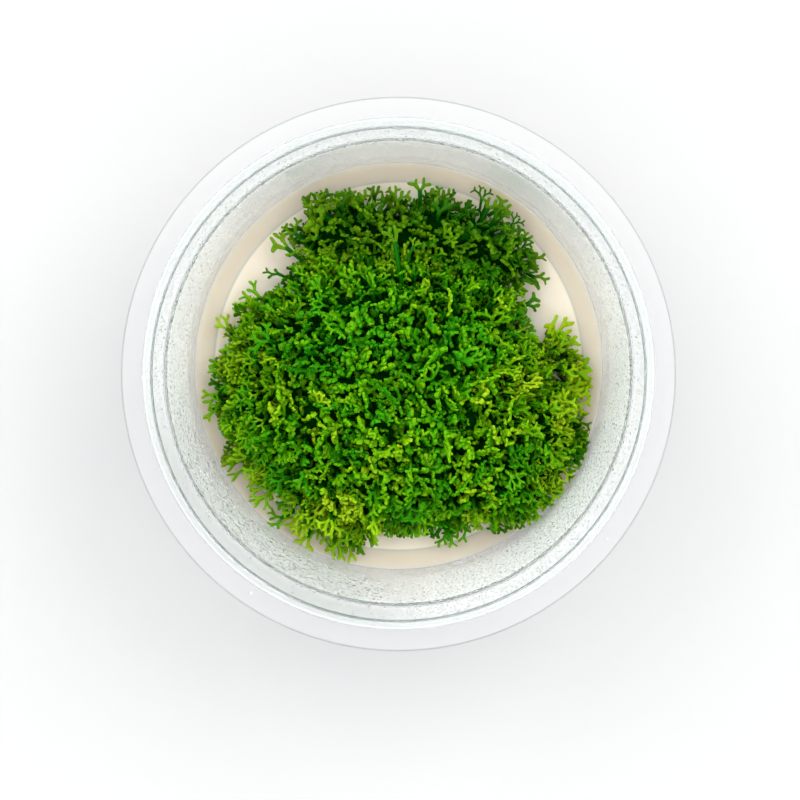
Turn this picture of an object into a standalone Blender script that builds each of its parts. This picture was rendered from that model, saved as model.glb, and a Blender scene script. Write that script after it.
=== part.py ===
"""Crystalwort growing on nutrient gel in a clear plastic cup.

The cup stands upright on its foot ring. The origin is at the middle of its base, +Z points up
the cup's axis, and all sizes are real sizes in metres.
"""

import math
import random

import bmesh
import bpy
from mathutils import Matrix, Vector, noise
from mathutils.bvhtree import BVHTree

MM = 0.001

# Driving dimensions of the cup, all to its inner surface
BRIM_RADIUS = 47.5 * MM
CUP_HEIGHT = 50.0 * MM
WALL = 0.5 * MM
MOUTH_RADIUS = 42.2 * MM
BEAD_RADIUS = 43.8 * MM
LEDGE_OUTER_RADIUS = 41.2 * MM
LEDGE_INNER_RADIUS = 40.6 * MM
LEDGE_Z = 40.3 * MM
WALL_FOOT_RADIUS = 37.0 * MM
WALL_FOOT_Z = 3.0 * MM
CORNER_RADIUS = 2.4 * MM
FOOT_INNER_RADIUS = 31.6 * MM
BASE_RAISED = 1.0 * MM
TURN_STEPS = 48
MERGE_DISTANCE = 0.01 * MM

# Driving dimensions of the gel and the plant
CLEARANCE = 0.3 * MM
GEL_TOP_Z = 13.5 * MM
FROND_LENGTH = 5.2 * MM
FROND_WIDTH = 1.7 * MM
FROND_THICKNESS = 1.1 * MM
FROND_SPACING = 1.9 * MM
BODY_SPACING = 1.2 * MM
FROND_TRIES = 6
FORK_ANGLE = math.radians(35)
ROOT_SHARE = 0.12
FORK_SHARE = 0.5
FRINGE_WIDTH = 0.68 * FROND_LENGTH
LUMP_HEIGHT = 1.1 * MM
LUMP_SIZE = 7.0 * MM
SEED = 7

# Main cushion: its middle, the height of its body, and how far its frond tips reach at each angle
MAIN_MIDDLE = (0.3 * MM, -7.0 * MM)
MAIN_HEIGHT = 12.5 * MM
MAIN_REACH = (
    (0, 31.0), (14, 28.5), (35, 31.0), (60, 31.0), (85, 30.4), (108, 31.8), (130, 33.4), (152, 35.8),
    (180, 36.2), (203, 33.8), (226, 31.0), (248, 30.0), (268, 27.0), (292, 26.5), (315, 29.8), (345, 35.0),
)

# Back cushion: an ellipse bent round the main one and tilted down to the right
BACK_MIDDLE = (1.5 * MM, 27.7 * MM)
BACK_HALF_WIDTH = 25.5 * MM
BACK_HALF_DEPTH = 8.0 * MM
BACK_BEND = 14.5
BACK_TILT = 0.15
BACK_HEIGHT = 6.8 * MM

# Right tuft: a plain ellipse
TUFT_MIDDLE = (31.5 * MM, -0.2 * MM)
TUFT_HALF_WIDTH = 5.8 * MM
TUFT_HALF_DEPTH = 9.6 * MM
TUFT_HEIGHT = 4.6 * MM


def clear_scene():
    for thing in list(bpy.data.objects):
        bpy.data.objects.remove(thing, do_unlink=True)


def make_collection(name):
    collection = bpy.data.collections.new(name)
    bpy.context.scene.collection.children.link(collection)
    return collection


def make_material(name, colour, roughness, transmission=0.0, ior=1.45):
    material = bpy.data.materials.new(name)
    material.use_nodes = True
    shader = material.node_tree.nodes["Principled BSDF"]
    shader.inputs["Base Color"].default_value = (*colour, 1.0)
    shader.inputs["Roughness"].default_value = roughness
    shader.inputs["Metallic"].default_value = 0.0
    shader.inputs["Transmission Weight"].default_value = transmission
    shader.inputs["IOR"].default_value = ior
    return material


def add_object(name, mesh, material, collection):
    thing = bpy.data.objects.new(name, mesh)
    mesh.materials.append(material)
    collection.objects.link(thing)
    return thing


def arc(centre, radius, start, end, count):
    """Points on an arc in the (radius, height) plane, angles in degrees."""
    angles = (math.radians(start + (end - start) * i / (count - 1)) for i in range(count))
    return [(centre[0] + radius * math.cos(a), centre[1] + radius * math.sin(a)) for a in angles]


def turned(name, profile, material, collection):
    """A turned shape: the profile in the XZ plane and a Screw modifier about Z."""
    mesh = bpy.data.meshes.new(name)
    edges = [(i, i + 1) for i in range(len(profile) - 1)]
    mesh.from_pydata([(r, 0.0, z) for r, z in profile], edges, [])
    thing = add_object(name, mesh, material, collection)
    screw = thing.modifiers.new("Turn", "SCREW")
    screw.axis = "Z"
    screw.angle = math.tau
    screw.steps = TURN_STEPS
    screw.render_steps = TURN_STEPS
    screw.use_merge_vertices = True
    screw.merge_threshold = MERGE_DISTANCE
    return thing


def wall_radius(z):
    """The inner radius of the tapered wall at a height."""
    share = (z - WALL_FOOT_Z) / (LEDGE_Z - WALL_FOOT_Z)
    return WALL_FOOT_RADIUS + (LEDGE_INNER_RADIUS - WALL_FOOT_RADIUS) * share


def foot_profile(inset):
    """The inner surface of the foot from the wall to the middle, moved in by an inset."""
    floor_z = WALL + inset
    corner = (WALL_FOOT_RADIUS - CORNER_RADIUS, WALL + CORNER_RADIUS)
    points = arc(corner, CORNER_RADIUS - inset, 0, -90, 4)
    points.append((FOOT_INNER_RADIUS + 1.0 * MM - inset, floor_z))
    points.append((FOOT_INNER_RADIUS - inset, floor_z + BASE_RAISED))
    points.append((0.0, floor_z + BASE_RAISED))
    return points


def make_cup(collection):
    """Brim flange, snap bead, ledge, tapered wall and foot, drawn as the inner surface."""
    top = CUP_HEIGHT
    profile = [
        (BRIM_RADIUS, top),
        (MOUTH_RADIUS + 0.6 * MM, top),
        (MOUTH_RADIUS, top - 0.6 * MM),
        (MOUTH_RADIUS + 0.4 * MM, top - 1.6 * MM),
        (BEAD_RADIUS - 0.3 * MM, top - 2.6 * MM),
        (BEAD_RADIUS, top - 3.8 * MM),
        (BEAD_RADIUS - 0.5 * MM, top - 5.2 * MM),
        (LEDGE_OUTER_RADIUS, LEDGE_Z + 0.5 * MM),
        (LEDGE_INNER_RADIUS, LEDGE_Z),
    ]
    profile += foot_profile(0.0)
    clear = make_material("Clear_plastic", (0.93, 0.95, 0.96), 0.06, transmission=1.0, ior=1.49)
    cup = turned("cup", profile, clear, collection)
    shell = cup.modifiers.new("Sheet thickness", "SOLIDIFY")
    shell.thickness = WALL
    shell.offset = 1.0
    shell.use_even_offset = True
    return cup


def make_gel(collection):
    """The gel fills the foot of the cup, flat on top."""
    profile = [
        (0.0, GEL_TOP_Z),
        (wall_radius(GEL_TOP_Z) - CLEARANCE, GEL_TOP_Z),
    ]
    profile += foot_profile(CLEARANCE)
    cream = make_material("Nutrient_gel", (0.88, 0.80, 0.66), 0.12, transmission=0.4, ior=1.34)
    return turned("gel", profile, cream, collection)


def reach_at(angle):
    """How far the main cushion's tips reach at an angle, smoothly between the listed ones."""
    degrees = math.degrees(angle) % 360
    last_angle, last_reach = MAIN_REACH[-1]
    first_angle, first_reach = MAIN_REACH[0]
    ring = [(last_angle - 360, last_reach), *MAIN_REACH, (first_angle + 360, first_reach)]
    for (a0, r0), (a1, r1) in zip(ring, ring[1:]):
        if a0 <= degrees <= a1:
            share = (degrees - a0) / (a1 - a0)
            eased = share * share * (3 - 2 * share)
            return (r0 + (r1 - r0) * eased) * MM
    raise ValueError("no reach at this angle")


def main_plan(a, b):
    """Place a point of the unit disc on the main cushion's plan."""
    reach = reach_at(math.atan2(b, a)) - FRINGE_WIDTH
    return MAIN_MIDDLE[0] + a * reach, MAIN_MIDDLE[1] + b * reach


def back_plan(a, b):
    """Place a point of the unit disc on the back cushion's bent plan."""
    x = a * (BACK_HALF_WIDTH - FRINGE_WIDTH)
    y = b * (BACK_HALF_DEPTH - 0.5 * FRINGE_WIDTH) - BACK_BEND * x * x - BACK_TILT * x
    return BACK_MIDDLE[0] + x, BACK_MIDDLE[1] + y


def tuft_plan(a, b):
    """Place a point of the unit disc on the right tuft's plan."""
    x = a * (TUFT_HALF_WIDTH - 0.5 * FRINGE_WIDTH)
    y = b * (TUFT_HALF_DEPTH - 0.5 * FRINGE_WIDTH)
    return TUFT_MIDDLE[0] + x, TUFT_MIDDLE[1] + y


def make_body(plan, height, cuts):
    """A flat-bottomed lumpy dome: a cube of square faces, rounded and spread over its plan."""
    body = bmesh.new()
    bmesh.ops.create_cube(body, size=2.0)
    bmesh.ops.subdivide_edges(body, edges=body.edges[:], cuts=cuts, use_grid_fill=True)
    floor_z = GEL_TOP_Z + CLEARANCE
    for vert in body.verts:
        way = vert.co.normalized()
        spread = math.hypot(way.x, way.y)
        fuller = spread ** -0.25 if spread > 0.0 else 0.0
        x, y = plan(way.x * fuller, way.y * fuller)
        lump = noise.noise(Vector((x, y, height)) / LUMP_SIZE) * LUMP_HEIGHT
        z = floor_z + max(0.0, way.z) * (height + lump)
        vert.co = (x, y, z)
    underside = [f for f in body.faces if all(v.co.z < floor_z + 0.01 * MM for v in f.verts)]
    bmesh.ops.dissolve_faces(body, faces=underside)
    loose = [v for v in body.verts if not v.link_faces]
    bmesh.ops.delete(body, geom=loose, context="VERTS")
    body.normal_update()
    return body


class Frond:
    """The key points of one forked frond tip before it is drawn out of its face."""

    def __init__(self, face, middle, draw):
        self.face = face
        self.root = face.calc_center_median()
        outward = (self.root - middle).normalized()
        jitter = Vector((draw.uniform(-1, 1), draw.uniform(-1, 1), draw.uniform(-0.4, 1)))
        self.way = (face.normal + 0.7 * outward + 0.45 * jitter).normalized()
        turn = draw.uniform(0, math.pi)
        across = self.way.orthogonal().normalized()
        self.across = Matrix.Rotation(turn, 3, self.way) @ across
        self.through = self.way.cross(self.across)
        length = FROND_LENGTH * draw.uniform(0.8, 1.15)
        self.neck = self.root + self.way * length * ROOT_SHARE
        self.fork = self.root + self.way * length * FORK_SHARE
        self.tips = []
        for side in (-1, 1):
            lean = FORK_ANGLE * draw.uniform(0.7, 1.2)
            step = self.way * math.cos(lean) + self.across * side * math.sin(lean)
            self.tips.append(self.fork + step * length * (1 - FORK_SHARE))

    def key_points(self):
        return [self.fork, *self.tips]


def fits(frond, taken, neighbours):
    """Whether a frond stays inside the cup and clear of the fronds and bodies round it."""
    for point in frond.key_points():
        if point.z < GEL_TOP_Z + CLEARANCE + 0.4 * FROND_WIDTH:
            return False
        if math.hypot(point.x, point.y) > wall_radius(point.z) - 0.65 * FROND_WIDTH:
            return False
        if any((point - other).length < FROND_SPACING for other in taken):
            return False
        for neighbour in neighbours:
            nearest, normal, _, distance = neighbour.find_nearest(point)
            if distance < BODY_SPACING or (point - nearest).dot(normal) < 0:
                return False
    return True


def place_ring(face, middle, across, through, width, thickness):
    """Move the four corners of a face to a flat oblong ring round a point."""
    corners = ((-1, -1), (1, -1), (1, 1), (-1, 1))
    spots = [middle + across * (0.5 * width * i) + through * (0.5 * thickness * j) for i, j in corners]
    verts = face_corners(face)
    starts = range(4)
    best = min(starts, key=lambda s: sum((verts[(i + s) % 4].co - spots[i]).length for i in range(4)))
    for i in range(4):
        verts[(i + best) % 4].co = spots[i]


def face_corners(face):
    return [loop.vert for loop in face.loops]


def draw_out(body, face):
    """Extrude one face and return the new face at its end."""
    result = bmesh.ops.extrude_discrete_faces(body, faces=[face])
    return result["faces"][0]


def is_along(edge, across):
    """Whether an edge of a ring runs along the frond's width."""
    run = edge.verts[1].co - edge.verts[0].co
    return abs(run.dot(across)) > 0.8 * FROND_WIDTH


def grow_frond(body, frond):
    """Draw a stem out of the face, split its end in two and draw out both tips."""
    through = frond.through
    if frond.face.normal.dot(frond.across.cross(through)) < 0:
        through = -through
    neck = draw_out(body, frond.face)
    place_ring(neck, frond.neck, frond.across, through, 0.9 * FROND_WIDTH, 1.2 * FROND_THICKNESS)
    end = draw_out(body, neck)
    place_ring(end, frond.fork, frond.across, through, FROND_WIDTH, FROND_THICKNESS)
    long_edges = [e for e in end.edges if is_along(e, frond.across)]
    split = bmesh.ops.subdivide_edges(body, edges=long_edges, cuts=1)
    middle_verts = {v for v in split["geom_inner"] if isinstance(v, bmesh.types.BMVert)}
    halves = [f for f in body.faces if len(f.verts) == 4 and len(middle_verts & set(f.verts)) == 2]
    halves = [f for f in halves if all((v.co - frond.fork).length < FROND_WIDTH for v in f.verts)]
    for half in halves:
        side = (half.calc_center_median() - frond.fork).dot(frond.across)
        tip = frond.tips[0] if side < 0 else frond.tips[1]
        out = (tip - frond.fork).normalized()
        across = (frond.across - out * out.dot(frond.across)).normalized()
        finger = draw_out(body, half)
        place_ring(finger, tip, across, out.cross(across), 0.6 * FROND_WIDTH, 0.6 * FROND_THICKNESS)


def make_cushion(name, body, middle, neighbours, taken, draw, spacing, material, collection):
    """Grow forked fronds out of a body's faces wherever they fit."""
    faces = [f for f in body.faces if len(f.verts) == 4 and f.calc_area() > (1.2 * MM) ** 2]
    draw.shuffle(faces)
    chosen = []
    for face in faces:
        root = face.calc_center_median()
        if any((root - other.root).length < spacing for other in chosen):
            continue
        tries = (Frond(face, middle, draw) for _ in range(FROND_TRIES))
        frond = next((f for f in tries if fits(f, taken, neighbours)), None)
        if frond:
            chosen.append(frond)
            taken.extend(frond.key_points())
    for frond in chosen:
        grow_frond(body, frond)
    bmesh.ops.triangulate(body, faces=body.faces[:])
    bmesh.ops.recalc_face_normals(body, faces=body.faces[:])
    mesh = bpy.data.meshes.new(name)
    body.to_mesh(mesh)
    body.free()
    return add_object(name, mesh, material, collection)


def make_plant(collection):
    """Three cushions of forked fronds: the main one, the low one behind it and the right tuft."""
    draw = random.Random(SEED)
    floor_z = GEL_TOP_Z + CLEARANCE
    leaf = make_material("Crystalwort_green", (0.16, 0.40, 0.02), 0.45)
    shaded = make_material("Crystalwort_deep_green", (0.09, 0.27, 0.01), 0.45)
    fresh = make_material("Crystalwort_yellow_green", (0.24, 0.46, 0.03), 0.45)
    bodies = {
        "main_cushion": make_body(main_plan, MAIN_HEIGHT, 11),
        "back_cushion": make_body(back_plan, BACK_HEIGHT, 7),
        "right_tuft": make_body(tuft_plan, TUFT_HEIGHT, 3),
    }
    trees = {name: BVHTree.FromBMesh(body) for name, body in bodies.items()}
    looks = {"main_cushion": leaf, "back_cushion": shaded, "right_tuft": fresh}
    middles = {
        "main_cushion": Vector((*MAIN_MIDDLE, floor_z)),
        "back_cushion": Vector((BACK_MIDDLE[0], BACK_MIDDLE[1] - 6 * MM, floor_z)),
        "right_tuft": Vector((TUFT_MIDDLE[0] - 3 * MM, TUFT_MIDDLE[1], floor_z)),
    }
    spacings = {"main_cushion": 4.2 * MM, "back_cushion": 3.6 * MM, "right_tuft": 2.6 * MM}
    taken = []
    for name in ("right_tuft", "back_cushion", "main_cushion"):
        neighbours = [tree for other, tree in trees.items() if other != name]
        make_cushion(
            name, bodies[name], middles[name], neighbours, taken, draw, spacings[name], looks[name], collection
        )


def main():
    clear_scene()
    collection = make_collection("Crystalwort_cup")
    make_cup(collection)
    make_gel(collection)
    make_plant(collection)


main()
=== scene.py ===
import math
import random

import bmesh
import bpy
import numpy as np
from bpy.props import FloatProperty, FloatVectorProperty, IntProperty, PointerProperty
from mathutils import Matrix, Vector, noise


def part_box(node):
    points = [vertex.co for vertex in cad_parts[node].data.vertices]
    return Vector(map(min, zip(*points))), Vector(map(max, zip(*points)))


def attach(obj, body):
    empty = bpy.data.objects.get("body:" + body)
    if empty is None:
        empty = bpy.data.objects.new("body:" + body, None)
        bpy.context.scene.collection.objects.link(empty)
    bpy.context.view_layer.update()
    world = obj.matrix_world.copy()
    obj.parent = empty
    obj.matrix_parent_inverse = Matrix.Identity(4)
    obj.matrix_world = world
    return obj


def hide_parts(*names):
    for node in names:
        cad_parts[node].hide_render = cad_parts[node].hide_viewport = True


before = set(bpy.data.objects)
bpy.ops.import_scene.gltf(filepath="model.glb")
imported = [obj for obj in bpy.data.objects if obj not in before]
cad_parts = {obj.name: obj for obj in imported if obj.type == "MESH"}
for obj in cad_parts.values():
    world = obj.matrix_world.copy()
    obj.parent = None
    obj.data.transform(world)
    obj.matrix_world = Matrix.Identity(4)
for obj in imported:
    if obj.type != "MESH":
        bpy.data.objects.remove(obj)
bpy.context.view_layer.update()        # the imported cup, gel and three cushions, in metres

bl_info = {
    "name": "Crystalwort in a Culture Cup",
    "version": (1, 0, 0),
    "blender": (4, 5, 0),
    "location": "3D View > Sidebar > Crystalwort",
    "description": "Models a cushion of crystalwort on cream gel in a clear cup, with the water on its wall",
    "category": "Object",
}

MM = 0.001
BODY = "root"
CUP_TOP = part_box("cup")[1]
GEL_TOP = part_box("gel")[1]


def linear(code):
    """Turns an sRGB hex value, such as F3E9D7, into a linear colour with full alpha."""
    parts = [int(code[i:i + 2], 16) / 255 for i in (0, 2, 4)]
    return (*(p / 12.92 if p <= 0.04045 else ((p + 0.055) / 1.055) ** 2.4 for p in parts), 1.0)


def length_property(name, description, millimetres):
    return FloatProperty(name=name, description=description, default=millimetres * MM, precision=5,
                         unit="LENGTH")


def colour_property(name, description, code):
    return FloatVectorProperty(name=name, description=description, default=linear(code), size=4,
                               subtype="COLOR")


class CupSettings(bpy.types.PropertyGroup):
    """Sizes of the cup, all to its inner surface, and its tint."""

    brim_radius: length_property("Brim Radius", "Outer edge of the flat brim", 1000 * CUP_TOP.x - 0.01)
    height: length_property("Height", "Foot ring to the top of the brim", 1000 * CUP_TOP.z)
    wall: length_property("Wall", "Thickness of the plastic sheet", 0.5)
    mouth_radius: length_property("Mouth Radius", "Narrowest part of the opening", 42.2)
    bead_radius: length_property("Bead Radius", "Widest part of the snap bead below the brim", 43.8)
    ledge_outer: length_property("Ledge Outer Radius", "Outer edge of the ledge", 41.2)
    ledge_inner: length_property("Ledge Inner Radius", "Top of the tapered wall", 40.6)
    ledge_z: length_property("Ledge Height", "Top of the tapered wall above the foot", 40.3)
    wall_foot_radius: length_property("Wall Foot Radius", "Foot of the tapered wall", 37.0)
    wall_foot_z: length_property("Wall Foot Height", "Where the wall turns into the foot", 3.0)
    corner_radius: length_property("Corner Radius", "Inner rounding of the foot", 2.4)
    foot_inner: length_property("Foot Ring Inner Radius", "Where the base is raised off the table", 31.6)
    base_raised: length_property("Base Raise", "How far the base stands above the foot ring", 1.0)
    tint: colour_property("Plastic Tint", "Cool tint of the clear plastic", "FEFFFF")
    # Painted shade: the grey stands in for the dark line that the brim's cut edge draws
    edge_shade: colour_property("Edge Tint", "Grey of the die-cut edge of the brim", "D8DDDF")
    depth_tint: colour_property("Depth Tint", "Blue grey of light that ran far inside the sheet", "C2DBE7")
    absorption: FloatProperty(name="Absorption", description="How fast the sheet takes that tint, per metre",
                              default=42.0)


class GelSettings(bpy.types.PropertyGroup):
    """Sizes and colour of the nutrient gel."""

    gap: length_property("Gap", "Room between the gel and the plastic", 0.05)
    meniscus_height: length_property("Meniscus Height", "How far the gel climbs the wall", 0.35)
    meniscus_width: length_property("Meniscus Width", "How far in the climb begins", 1.6)
    cream: colour_property("Cream", "Colour of the set gel", "E9DFCE")
    # The beige is a darker band from the foot's corner out to the wall
    beige: colour_property("Beige", "Colour of the gel where it is thin at its edge", "CFC5B3")
    glow: length_property("Glow", "How far light spreads inside the gel", 5.0)
    line: colour_property("Corner Line", "Line where the foot turns, seen through the gel", "B9BDAF")


class PlantSettings(bpy.types.PropertyGroup):
    """Sizes, spacings and colours of the fronds."""

    frond_width: length_property("Frond Width", "Width of a frond's stem", 0.95)
    frond_thickness: length_property("Frond Thickness", "Thickness of a frond", 0.55)
    stem: length_property("Stem", "From the root to the first fork", 1.7)
    branch: length_property("Branch", "From one fork to the next", 1.1)
    lobe: length_property("Lobe", "Length of a blunt end lobe", 0.85)
    # The creases are sunk, and also painted darker as shade
    rosette: length_property("Rosette", "Size of the rosettes of fronds, with dark creases between", 6.5)
    crown_spacing: length_property("Crown Spacing", "Least distance between fronds on top", 1.23)
    floor_spacing: length_property("Lower Spacing", "Least distance between the fronds below them", 1.5)
    fringe: length_property("Fringe", "How far the tips stand out past the body", 3.7)
    seed: IntProperty(name="Seed", description="Seed of every random draw for the fronds", default=11)
    pale: colour_property("Pale Tips", "Outermost tips of the youngest fronds", "8CAA12")
    young: colour_property("Young Tips", "Lit tips of young fronds", "5E9600")
    fresh: colour_property("Fresh Green", "Middle of the fronds on top", "2F8000")
    deep: colour_property("Deep Green", "Stems and shaded fronds", "0A5800")
    # Painted shade: the gap green is mixed in by the depth mark, in the gaps and under the crown
    gap: colour_property("Gap Green", "Old growth at the bottom of the gaps", "011E00")
    # Painted shade: the back cushion's greens are the fresh greens made darker
    shaded_pale: colour_property("Shaded Pale Tips", "Outermost tips of the cushion at the back", "668E08")
    shaded: colour_property("Shaded Tips", "Tips of the cushion at the back", "548002")
    shaded_middle: colour_property("Shaded Green", "Fronds of the cushion at the back", "2C6600")
    yellow_pale: colour_property("Yellow Pale Tips", "Outermost tips of the tuft at the right", "90A818")
    yellow: colour_property("Yellow Tips", "Tips of the tuft at the right", "8CAA04")
    yellow_middle: colour_property("Yellow Green", "Fronds of the tuft at the right", "6C9C02")


class WaterSettings(bpy.types.PropertyGroup):
    """Sizes and spacings of the drops on the wall."""

    drop_radius: length_property("Drop Radius", "Radius of a middling drop", 0.17)
    spacing: length_property("Spacing", "Least distance between drops on most of the wall", 0.85)
    wet_side: FloatProperty(name="Wet Side", description="Where the drops lie largest and densest",
                            default=math.radians(230), subtype="ANGLE")
    seed: IntProperty(name="Seed", description="Seed of every random draw for the drops", default=5)


class StageSettings(bpy.types.PropertyGroup):
    """Camera, light and floor."""

    distance: length_property("Camera Distance", "From the middle of the brim to the camera", 400.0)
    tilt: FloatProperty(name="Camera Tilt", description="Lean of the view off the cup's axis",
                        default=math.radians(2.6), subtype="ANGLE")
    focal_length: FloatProperty(name="Focal Length", description="On a sensor 36 mm wide, in millimetres",
                                default=105.2)
    shift_x: FloatProperty(name="Shift X", description="Sideways shift of the frame", default=0.0019)
    shift_y: FloatProperty(name="Shift Y", description="Upward shift of the frame", default=-0.0306)
    floor: colour_property("Floor", "Pale floor under the cup", "AEAEAE")
    floor_cloud: colour_property("Floor Clouds", "The floor where its fibres lie denser", "B0B0AF")
    lamp: colour_property("Lamp", "Nearly white light of the two lamps", "FFFEFC")
    lamp_size: length_property("Lamp Size", "Side of each square lamp", 1200.0)
    key_power: FloatProperty(name="Key Power", description="Power of the lamp at the back right",
                             default=20.0, unit="POWER")
    fill_power: FloatProperty(name="Fill Power", description="Power of the lamp at the back left",
                              default=13.0, unit="POWER")
    sky: colour_property("Sky", "Nearly white light from all round", "FCFDFF")
    bounces: IntProperty(name="Bounces", description="Enough for light inside the clear sheet", default=16)


def chosen(name):
    """The settings that the scene holds, such as cup, gel or plant."""
    return getattr(bpy.context.scene, "crystalwort_" + name)


def deselect():
    """Leaves edit mode and selects nothing, so that the next operator acts only on what it is given."""
    if bpy.context.object and bpy.context.object.mode != "OBJECT":
        bpy.ops.object.mode_set(mode="OBJECT")
    bpy.ops.object.select_all(action="DESELECT")


def make_active(piece):
    deselect()
    bpy.context.view_layer.objects.active = piece
    piece.select_set(True)


def pick(kind, *places):
    """Selects only the faces or edges whose middles lie nearest the places."""
    bpy.ops.mesh.select_mode(type=kind)
    bpy.ops.mesh.select_all(action="DESELECT")
    mesh = bmesh.from_edit_mesh(bpy.context.object.data)
    for place in places:
        if kind == "FACE":
            nearest = min(mesh.faces, key=lambda f: (f.calc_center_median() - place).length)
        else:
            nearest = min(mesh.edges, key=lambda e: ((e.verts[0].co + e.verts[1].co) / 2 - place).length)
        nearest.select_set(True)
    bmesh.update_edit_mesh(bpy.context.object.data)


def turn_outwards():
    """Turns all faces of the piece in edit mode outwards, and leaves edit mode."""
    bpy.ops.mesh.select_all(action="SELECT")
    bpy.ops.mesh.normals_make_consistent(inside=False)
    bpy.ops.object.mode_set(mode="OBJECT")


def finish_mesh(piece, material):
    """Turns all faces outwards, shades them smooth and gives the piece its material."""
    make_active(piece)
    bpy.ops.object.mode_set(mode="EDIT")
    turn_outwards()
    bpy.ops.object.shade_smooth()
    piece.data.materials.append(material)


def take_mesh(piece):
    """Removes a modelled pattern from the scene and returns its points and faces for the copies."""
    points = np.array([vertex.co for vertex in piece.data.vertices])
    faces = [list(face.vertices) for face in piece.data.polygons]
    bpy.data.objects.remove(piece)
    return points, faces


def mark_points(mesh, **marks):
    """Writes a value on each point of a mesh under each name, for its material to read."""
    for name, values in marks.items():
        mesh.attributes.new(name, "FLOAT", "POINT").data.foreach_set("value", values)


def hand_over(piece, slot, *nodes):
    """Lets a finished piece ride on the cup's body, in the place of CAD nodes."""
    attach(piece, BODY)
    if nodes:
        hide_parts(*nodes)


def fill(tree, node, *values, **named):
    """Feeds a node's inputs, in order or by name with _ for a space, with values, outputs or whole nodes."""
    inputs = [socket for socket in node.inputs if socket.enabled]
    pairs = list(zip(inputs, values))
    for name, value in named.items():
        pairs.append((next(socket for socket in inputs if socket.name == name.replace("_", " ")), value))
    for socket, value in pairs:
        if isinstance(value, bpy.types.Node):
            value = next(output for output in value.outputs if output.enabled)
        if isinstance(value, bpy.types.NodeSocket):
            tree.links.new(value, socket)
        else:
            socket.default_value = value


def add(tree, kind, settings=None, *values, **named):
    """Adds a node with its settings and feeds its inputs."""
    node = tree.nodes.new(kind)
    for name, value in (settings or {}).items():
        setattr(node, name, value)
    fill(tree, node, *values, **named)
    return node


def new_material(name):
    """Starts a material and returns it, its node tree, its Principled shader and its object coordinates."""
    material = bpy.data.materials.new(name)
    material.use_nodes = True
    tree = material.node_tree
    return material, tree, tree.nodes["Principled BSDF"], add(tree, "ShaderNodeTexCoord").outputs["Object"]


def clamp(value):
    return min(1.0, max(0.0, value))


def wall_radius(z):
    """The inner radius of the tapered wall at a height."""
    cup = chosen("cup")
    share = (z - cup.wall_foot_z) / (cup.ledge_z - cup.wall_foot_z)
    return cup.wall_foot_radius + (cup.ledge_inner - cup.wall_foot_radius) * share


def arc(radius, height, bend, start, end, count):
    """Points on an arc in the plane of radius and height, angles in degrees."""
    angles = [math.radians(start + (end - start) * i / (count - 1)) for i in range(count)]
    return [(radius + bend * math.cos(a), height + bend * math.sin(a)) for a in angles]


def rounded(points, passes):
    """Cuts the corners of an open outline again and again, which rounds each by a share of its sides."""
    for _ in range(passes):
        cut = [points[0]]
        for (r0, z0), (r1, z1) in zip(points, points[1:]):
            cut.append((r0 * 0.75 + r1 * 0.25, z0 * 0.75 + z1 * 0.25))
            cut.append((r0 * 0.25 + r1 * 0.75, z0 * 0.25 + z1 * 0.75))
        points = cut + [points[-1]]
    return points


def spin_outline(name, outline, steps):
    """Draws an outline point by point at +X and spins it about Z into a closed round skin."""
    deselect()
    bpy.ops.mesh.primitive_plane_add(size=MM, location=(0, 0, 0))
    piece = bpy.context.object
    piece.name = name
    bpy.ops.object.mode_set(mode="EDIT")
    bpy.ops.mesh.merge(type="CENTER")
    radius, height = outline[0]
    bpy.ops.transform.translate(value=(radius, 0, height))
    for (r0, z0), (r1, z1) in zip(outline, outline[1:]):
        bpy.ops.mesh.extrude_region_move(TRANSFORM_OT_translate={"value": (r1 - r0, 0, z1 - z0)})
    bpy.ops.mesh.select_all(action="SELECT")
    bpy.ops.mesh.spin(steps=steps, angle=math.tau, center=(0, 0, 0), axis=(0, 0, 1))
    bpy.ops.mesh.select_all(action="SELECT")
    bpy.ops.mesh.remove_doubles(threshold=0.001 * MM)
    turn_outwards()
    return piece


def foot_outline(inset):
    """The inner surface of the foot, from the wall to the middle, moved in by an inset."""
    cup = chosen("cup")
    floor = cup.wall + inset
    bend = cup.corner_radius
    points = arc(cup.wall_foot_radius - bend, cup.wall + bend, bend - inset, 0, -90, 9)
    step = cup.base_raised
    for out, up in ((1.3, 0.0), (0.9, 0.1), (0.2, 0.85), (-0.3, 1.0)):
        points.append((cup.foot_inner + out * step - inset, floor + up * step))
    points.append((0.0, floor + step))
    return points


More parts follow.
